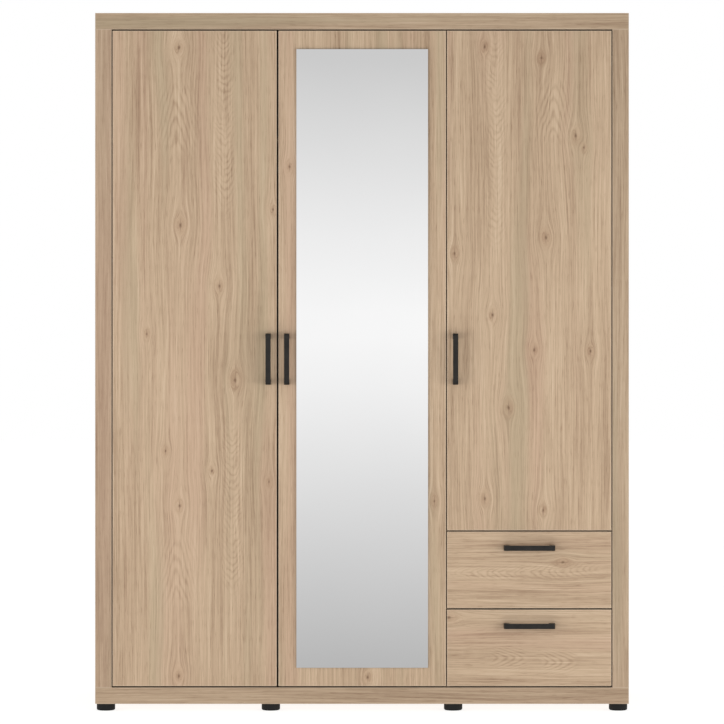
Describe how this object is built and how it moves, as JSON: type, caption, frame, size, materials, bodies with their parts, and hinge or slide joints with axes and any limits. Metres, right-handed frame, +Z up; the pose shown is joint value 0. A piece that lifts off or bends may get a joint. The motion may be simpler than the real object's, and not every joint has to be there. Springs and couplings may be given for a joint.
{
  "type": "wardrobe",
  "caption": "Freestanding wardrobe with hinged doors, one carrying a tall mirror, two drawers, bar handles and low round feet.",
  "frame": {"origin": "middle of the whole object's box, on the floor under the feet", "axes": "+Z up, +X to the right seen from the front, the doors face -Y"},
  "size_m": [1.5, 0.61, 1.962],
  "materials": {
    "oak": "matt melamine with a pale hickory print and fine pores",
    "back_board": "thin white-grey printed fibreboard",
    "drawer_board": "light grey linen-textured melamine",
    "mirror": "silvered float glass with a polished edge",
    "black_metal": "satin black anodised bar",
    "black_plastic": "moulded black plastic",
    "nickel": "nickel-plated pressed steel",
    "white_steel": "white powder-coated sheet steel",
    "white_plastic": "white extruded plastic",
    "nylon": "white nylon",
    "foam_tape": "grey double-sided foam tape"
  },
  "bodies": {
    "carcass": {"left_side_panel": "oak", "right_side_panel": "oak", "top_panel": "oak", "bottom_panel": "oak", "divider_panel": "oak", "drawer_top_shelf": "oak", "hat_shelf": "oak", "upper_shelf": "oak", "middle_shelf": "oak", "lower_shelf": "oak", "back_panel_left": "back_board", "back_panel_middle": "back_board", "back_panel_right": "back_board", "back_joint_strip": "white_plastic", "hanging_rail": "nickel", "rail_sockets": "nickel", "shelf_pins": "nickel", "feet": "black_plastic", "cam_fasteners": "nickel", "hinge_plates": "nickel", "hinge_arms": "nickel", "hinge_pins": "nickel", "hinge_screws": "nickel", "carcass_screws": "nickel", "cabinet_runners": "white_steel", "wall_brackets": "nickel"},
    "left_door": {"left_door_panel": "oak", "left_door_handle": "black_metal", "left_door_hinge_cups": "nickel", "left_door_screws": "nickel"},
    "centre_door": {"centre_door_panel": "oak", "centre_door_mirror": "mirror", "mirror_tape": "foam_tape", "centre_door_handle": "black_metal", "centre_door_hinge_cups": "nickel", "centre_door_screws": "nickel"},
    "right_door": {"right_door_panel": "oak", "right_door_handle": "black_metal", "right_door_hinge_cups": "nickel", "right_door_screws": "nickel"},
    "upper_drawer": {"upper_drawer_front": "oak", "upper_drawer_left_side": "drawer_board", "upper_drawer_right_side": "drawer_board", "upper_drawer_back": "drawer_board", "upper_drawer_bottom": "drawer_board", "upper_drawer_handle": "black_metal", "upper_drawer_runners": "white_steel", "upper_drawer_fasteners": "nickel"},
    "lower_drawer": {"lower_drawer_front": "oak", "lower_drawer_left_side": "drawer_board", "lower_drawer_right_side": "drawer_board", "lower_drawer_back": "drawer_board", "lower_drawer_bottom": "drawer_board", "lower_drawer_handle": "black_metal", "lower_drawer_runners": "white_steel", "lower_drawer_fasteners": "nickel"},
    "upper_front_rollers": {"upper_front_rollers": "nylon"},
    "upper_rear_rollers": {"upper_rear_rollers": "nylon"},
    "lower_front_rollers": {"lower_front_rollers": "nylon"},
    "lower_rear_rollers": {"lower_rear_rollers": "nylon"}
  },
  "joints": [
    {"name": "left_door_hinge", "type": "hinge", "parent": "carcass", "child": "left_door", "pos_m": [-0.689, -0.268, 0.989], "axis": [0, 0, -1], "range_deg": [0, 90]},
    {"name": "centre_door_hinge", "type": "hinge", "parent": "carcass", "child": "centre_door", "pos_m": [0.224, -0.268, 0.989], "axis": [0, 0, 1], "range_deg": [0, 90]},
    {"name": "right_door_hinge", "type": "hinge", "parent": "carcass", "child": "right_door", "pos_m": [0.689, -0.268, 1.209], "axis": [0, 0, 1], "range_deg": [0, 90]},
    {"name": "upper_drawer_slide", "type": "slide", "parent": "carcass", "child": "upper_drawer", "axis": [0, -1, 0], "range_m": [0, 0.375]},
    {"name": "lower_drawer_slide", "type": "slide", "parent": "carcass", "child": "lower_drawer", "axis": [0, -1, 0], "range_m": [0, 0.375]},
    {"name": "upper_front_roller_spin", "type": "hinge", "parent": "carcass", "child": "upper_front_rollers", "pos_m": [0.47475, -0.238, 0.3237], "axis": [1, 0, 0], "continuous": true},
    {"name": "upper_rear_roller_spin", "type": "hinge", "parent": "upper_drawer", "child": "upper_rear_rollers", "pos_m": [0.47475, 0.229, 0.3218], "axis": [1, 0, 0], "continuous": true},
    {"name": "lower_front_roller_spin", "type": "hinge", "parent": "carcass", "child": "lower_front_rollers", "pos_m": [0.47475, -0.238, 0.1047], "axis": [1, 0, 0], "continuous": true},
    {"name": "lower_rear_roller_spin", "type": "hinge", "parent": "lower_drawer", "child": "lower_rear_rollers", "pos_m": [0.47475, 0.229, 0.1028], "axis": [1, 0, 0], "continuous": true}
  ],
  "couplings": [
    {"joint": "upper_front_roller_spin", "follows": "upper_drawer_slide", "rad_per_m": 100},
    {"joint": "upper_rear_roller_spin", "follows": "upper_drawer_slide", "rad_per_m": 100},
    {"joint": "lower_front_roller_spin", "follows": "lower_drawer_slide", "rad_per_m": 100},
    {"joint": "lower_rear_roller_spin", "follows": "lower_drawer_slide", "rad_per_m": 100}
  ]
}
